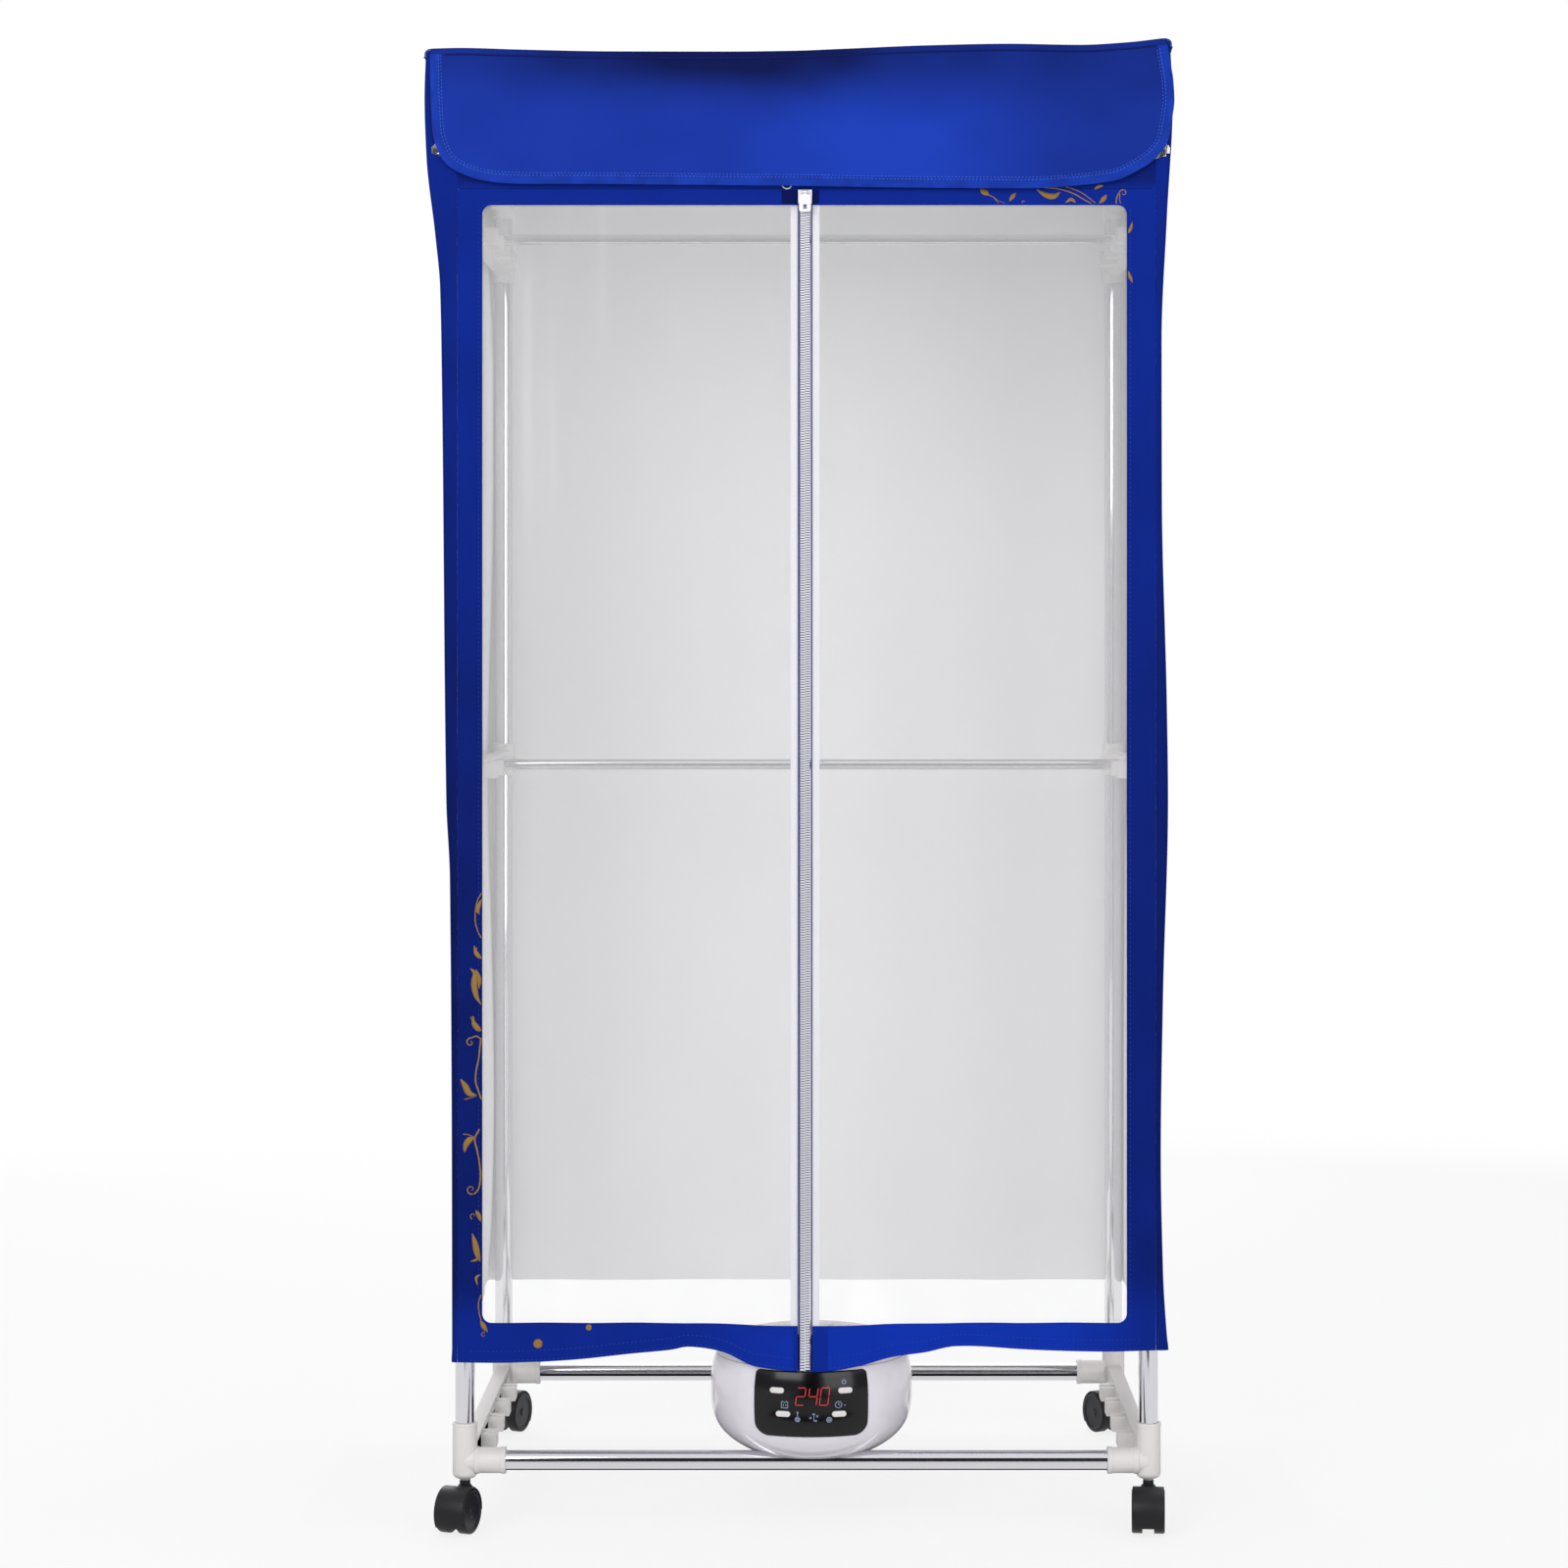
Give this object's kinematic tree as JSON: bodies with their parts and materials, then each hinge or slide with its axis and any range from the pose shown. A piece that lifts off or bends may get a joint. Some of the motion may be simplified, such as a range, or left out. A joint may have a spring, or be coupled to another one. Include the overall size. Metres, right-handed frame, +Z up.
{
  "type": "portable clothes dryer",
  "caption": "Free-standing wardrobe-type clothes dryer: tube frame on casters, blue cloth cover with front flap and zipped window curtains, hanging rods and a round fan heater at its foot.",
  "frame": {"origin": "on the floor under the middle of the bounding box", "axes": "+X towards the dryer's left-hand side as seen from behind it (right in a front view), +Y to the back, +Z up"},
  "size_m": [0.7408, 0.5326, 1.4463],
  "materials": {
    "white_plastic": "satin white moulding",
    "heater_white": "glossy white moulding",
    "black_gloss": "glossy black panel",
    "black_plastic": "satin black moulding",
    "chromed_tube": "bright chromed steel tube",
    "blue_cloth": "royal blue woven polyester",
    "zip_tape": "navy woven tape",
    "zip_metal": "bright silver zip",
    "steel": "plain zinc-plated steel",
    "circuit_board": "green circuit board",
    "heating_fins": "plain aluminium fins",
    "clear_film": "clear flexible film"
  },
  "bodies": {
    "frame": {"connector_front_left": "white_plastic", "connector_front_right": "white_plastic", "connector_rear_left": "white_plastic", "connector_rear_right": "white_plastic", "post_front_left": "chromed_tube", "post_front_right": "chromed_tube", "post_rear_left": "chromed_tube", "post_rear_right": "chromed_tube", "bracket_front_left": "white_plastic", "bracket_front_right": "white_plastic", "bracket_rear_left": "white_plastic", "bracket_rear_right": "white_plastic", "base_rail_left": "white_plastic", "base_rail_right": "white_plastic", "middle_rail_left": "white_plastic", "middle_rail_right": "white_plastic", "upper_rail_left": "white_plastic", "upper_rail_right": "white_plastic", "base_tube_front": "chromed_tube", "base_tube_rear": "chromed_tube", "top_rod_front": "chromed_tube", "top_rod_rear": "chromed_tube", "heater_housing": "heater_white", "heater_top_cover": "heater_white", "outlet_grille": "white_plastic", "control_panel": "black_gloss", "fan_motor": "steel", "heating_element": "heating_fins", "control_board": "circuit_board", "power_inlet": "black_plastic", "heater_carrier": "steel", "cover_side_left": "blue_cloth", "cover_side_right": "blue_cloth", "cover_back": "blue_cloth", "cover_top": "blue_cloth", "cover_front_band": "blue_cloth"},
    "flap": {"cover_flap": "blue_cloth"},
    "left_curtain": {"curtain_left": "blue_cloth", "window_left": "clear_film", "zip_chain": "zip_metal"},
    "right_curtain": {"curtain_right": "blue_cloth", "window_right": "clear_film", "zip_tape": "zip_tape"},
    "slider": {"zip_slider": "zip_metal"},
    "pull": {"zip_pull": "zip_metal"},
    "hood_front_left": {"caster_hood_front_left": "black_plastic"},
    "hood_front_right": {"caster_hood_front_right": "black_plastic"},
    "hood_rear_left": {"caster_hood_rear_left": "black_plastic"},
    "hood_rear_right": {"caster_hood_rear_right": "black_plastic"},
    "wheels_front_left": {"caster_wheels_front_left": "black_plastic"},
    "wheels_front_right": {"caster_wheels_front_right": "black_plastic"},
    "wheels_rear_left": {"caster_wheels_rear_left": "black_plastic"},
    "wheels_rear_right": {"caster_wheels_rear_right": "black_plastic"},
    "upper_left_button": {"button_upper_left": "white_plastic"},
    "upper_right_button": {"button_upper_right": "white_plastic"},
    "lower_left_button": {"button_lower_left": "white_plastic"},
    "lower_right_button": {"button_lower_right": "white_plastic"},
    "fan": {"fan_impeller": "black_plastic"},
    "upper_rod": {"hanging_rod_upper": "chromed_tube"},
    "lower_rod": {"hanging_rod_lower": "chromed_tube"}
  },
  "joints": [
    {"name": "flap_fold", "type": "hinge", "parent": "frame", "child": "flap", "pos_m": [0, -0.23215, 1.44215], "axis": [-0.9999, 0, -0.014], "range_deg": [0, 250]},
    {"name": "left_curtain_swing", "type": "hinge", "parent": "frame", "child": "left_curtain", "pos_m": [-0.338, -0.22975, 0.73], "axis": [0, 0, -1], "range_deg": [0, 165]},
    {"name": "right_curtain_swing", "type": "hinge", "parent": "frame", "child": "right_curtain", "pos_m": [0.338, -0.22975, 0.73], "axis": [0, 0, 1], "range_deg": [0, 165]},
    {"name": "slider_travel", "type": "slide", "parent": "left_curtain", "child": "slider", "axis": [0, 0, -1], "range_m": [0, 0.83]},
    {"name": "pull_swing", "type": "hinge", "parent": "slider", "child": "pull", "pos_m": [-0.0015, -0.23635, 1.2969], "axis": [-1, 0, 0], "range_deg": [0, 120]},
    {"name": "front_left_swivel", "type": "hinge", "parent": "frame", "child": "hood_front_left", "pos_m": [-0.332, -0.21575, 0.054], "axis": [0, 0, 1], "continuous": true},
    {"name": "front_right_swivel", "type": "hinge", "parent": "frame", "child": "hood_front_right", "pos_m": [0.332, -0.21575, 0.054], "axis": [0, 0, 1], "continuous": true},
    {"name": "rear_left_swivel", "type": "hinge", "parent": "frame", "child": "hood_rear_left", "pos_m": [-0.332, 0.22425, 0.054], "axis": [0, 0, 1], "continuous": true},
    {"name": "rear_right_swivel", "type": "hinge", "parent": "frame", "child": "hood_rear_right", "pos_m": [0.332, 0.22425, 0.054], "axis": [0, 0, 1], "continuous": true},
    {"name": "front_left_roll", "type": "hinge", "parent": "hood_front_left", "child": "wheels_front_left", "pos_m": [-0.33734, -0.23083, 0.0212], "axis": [0.9426, -0.3338, 0], "continuous": true},
    {"name": "front_right_roll", "type": "hinge", "parent": "hood_front_right", "child": "wheels_front_right", "pos_m": [0.33061, -0.23169, 0.0212], "axis": [0.9962, -0.0872, 0], "continuous": true},
    {"name": "rear_left_roll", "type": "hinge", "parent": "hood_rear_left", "child": "wheels_rear_left", "pos_m": [-0.32601, 0.23909, 0.0212], "axis": [-0.9272, 0.3746, 0], "continuous": true},
    {"name": "rear_right_roll", "type": "hinge", "parent": "hood_rear_right", "child": "wheels_rear_right", "pos_m": [0.32449, 0.23838, 0.0212], "axis": [-0.8829, -0.4695, 0], "continuous": true},
    {"name": "upper_left_press", "type": "slide", "parent": "frame", "child": "upper_left_button", "axis": [0.3283, 0.9446, 0], "range_m": [0, 0.0008], "stiffness_N_per_m": 400},
    {"name": "upper_right_press", "type": "slide", "parent": "frame", "child": "upper_right_button", "axis": [-0.3283, 0.9446, 0], "range_m": [0, 0.0008], "stiffness_N_per_m": 400},
    {"name": "lower_left_press", "type": "slide", "parent": "frame", "child": "lower_left_button", "axis": [0.2687, 0.9632, 0], "range_m": [0, 0.0008], "stiffness_N_per_m": 400},
    {"name": "lower_right_press", "type": "slide", "parent": "frame", "child": "lower_right_button", "axis": [-0.2687, 0.9632, 0], "range_m": [0, 0.0008], "stiffness_N_per_m": 400},
    {"name": "fan_spin", "type": "hinge", "parent": "frame", "child": "fan", "pos_m": [0.0045, -0.16575, 0.105], "axis": [0, 0, 1], "continuous": true},
    {"name": "upper_rod_lift", "type": "slide", "parent": "frame", "child": "upper_rod", "axis": [0, 0, 1], "range_m": [0, 0.03]},
    {"name": "lower_rod_lift", "type": "slide", "parent": "frame", "child": "lower_rod", "axis": [0, 0, 1], "range_m": [0, 0.03]}
  ]
}
